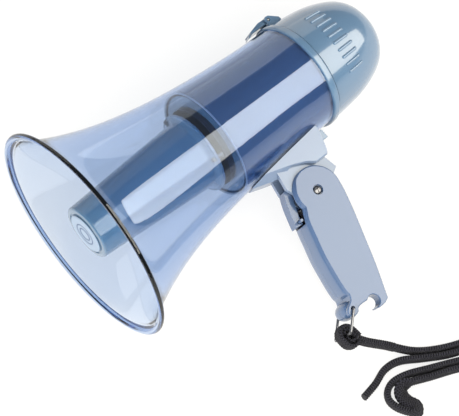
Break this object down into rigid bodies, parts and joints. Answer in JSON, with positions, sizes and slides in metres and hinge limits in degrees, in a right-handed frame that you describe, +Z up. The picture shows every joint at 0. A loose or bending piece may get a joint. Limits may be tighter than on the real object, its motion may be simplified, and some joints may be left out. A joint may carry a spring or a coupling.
{
  "type": "handheld megaphone",
  "caption": "Handheld megaphone with a clear flared bell, reflector cup, ribbed rear cap, folding pistol handle with trigger, and a wrist strap; it lies on its side.",
  "frame": {"origin": "middle of the bottom of the megaphone's box, without its strap, on the surface it lies on", "axes": "+X back along the horn, +Y towards the top of the megaphone as held, +Z up from the surface, out of its left side"},
  "size_m": [0.2588, 0.3066, 0.148],
  "materials": {
    "clear_blue": "clear polycarbonate, polished",
    "deep_blue": "gloss",
    "steel_blue": "semi-gloss",
    "pale_blue": "satin",
    "black_plastic": "satin",
    "board": "solder mask",
    "cell_wrap": "printed film",
    "foam": "open foam",
    "webbing": "woven",
    "paper_cone": "paper",
    "chrome": "polished",
    "steel": "plated",
    "copper": "enamelled wire",
    "ferrite": "sintered"
  },
  "bodies": {
    "megaphone_body": {"horn_shell": "clear_blue", "barrel_liner": "deep_blue", "baffle_plate": "steel_blue", "collar_ring": "steel_blue", "reflector_cup": "steel_blue", "nose_badge": "pale_blue", "throat_tube": "black_plastic", "driver_plate": "black_plastic", "driver_basket": "steel", "driver_diaphragm": "paper_cone", "voice_coil": "copper", "driver_magnet": "ferrite", "magnet_yoke": "steel", "amplifier_board": "board", "amplifier_chip": "black_plastic", "battery_carrier": "black_plastic", "mount_block": "pale_blue", "cup_screw_1": "chrome", "cup_standoff_1": "chrome", "cup_screw_2": "chrome", "cup_standoff_2": "chrome", "cup_screw_3": "chrome", "cup_standoff_3": "chrome", "battery_cell_1": "cell_wrap", "battery_cell_2": "cell_wrap", "battery_cell_3": "cell_wrap", "battery_cell_4": "cell_wrap", "wrist_strap": "webbing"},
    "rear_cap_body": {"rear_cap": "steel_blue", "mic_grille": "black_plastic", "mic_foam": "foam", "mic_capsule": "steel", "volume_control": "steel", "latch_base": "steel_blue", "latch_pin": "steel", "battery_contact_plate": "steel"},
    "volume_knob_body": {"volume_knob": "black_plastic"},
    "latch_lever_body": {"latch_lever": "steel_blue"},
    "mode_switch_body": {"mode_switch": "steel_blue"},
    "handle_body": {"handle_left": "pale_blue", "handle_right": "pale_blue", "pivot_pin": "steel", "pivot_screw": "chrome", "trigger_pin": "steel", "trigger_switch": "black_plastic", "switch_bracket": "steel", "trigger_leaf_spring": "steel"},
    "trigger_body": {"trigger": "steel_blue"},
    "bail_body": {"bail_wire": "chrome", "strap_loop": "webbing"}
  },
  "joints": [
    {"name": "cap_twist", "type": "hinge", "parent": "megaphone_body", "child": "rear_cap_body", "pos_m": [0.08042, 0.03729, 0.03867], "axis": [0.9837, 0, -0.1797], "range_deg": [0, 30]},
    {"name": "volume_turn", "type": "hinge", "parent": "rear_cap_body", "child": "volume_knob_body", "pos_m": [0.12807, 0.0262, 0.02686], "axis": [0.9837, 0, -0.1797], "range_deg": [0, 270]},
    {"name": "latch_open", "type": "hinge", "parent": "rear_cap_body", "child": "latch_lever_body", "pos_m": [0.07568, 0.07672, 0.05057], "axis": [-0.1733, 0.2655, -0.9484], "range_deg": [0, 80]},
    {"name": "mode_slide", "type": "slide", "parent": "megaphone_body", "child": "mode_switch_body", "axis": [-0.1733, 0.2655, -0.9484], "range_m": [0, 0.012]},
    {"name": "handle_fold", "type": "hinge", "parent": "megaphone_body", "child": "handle_body", "pos_m": [0.01777, -0.02808, 0.03182], "axis": [-0.1733, 0.2655, -0.9484], "range_deg": [0, 62]},
    {"name": "trigger_press", "type": "hinge", "parent": "handle_body", "child": "trigger_body", "pos_m": [-0.00331, -0.03656, 0.03329], "axis": [-0.1733, 0.2655, -0.9484], "range_deg": [0, 7], "stiffness_Nm_per_rad": 0.6, "springref_deg": -2.86},
    {"name": "bail_swing", "type": "hinge", "parent": "handle_body", "child": "bail_body", "pos_m": [-0.01833, -0.09759, 0.01896], "axis": [-0.1733, 0.2655, -0.9484], "range_deg": [0, 50]}
  ]
}
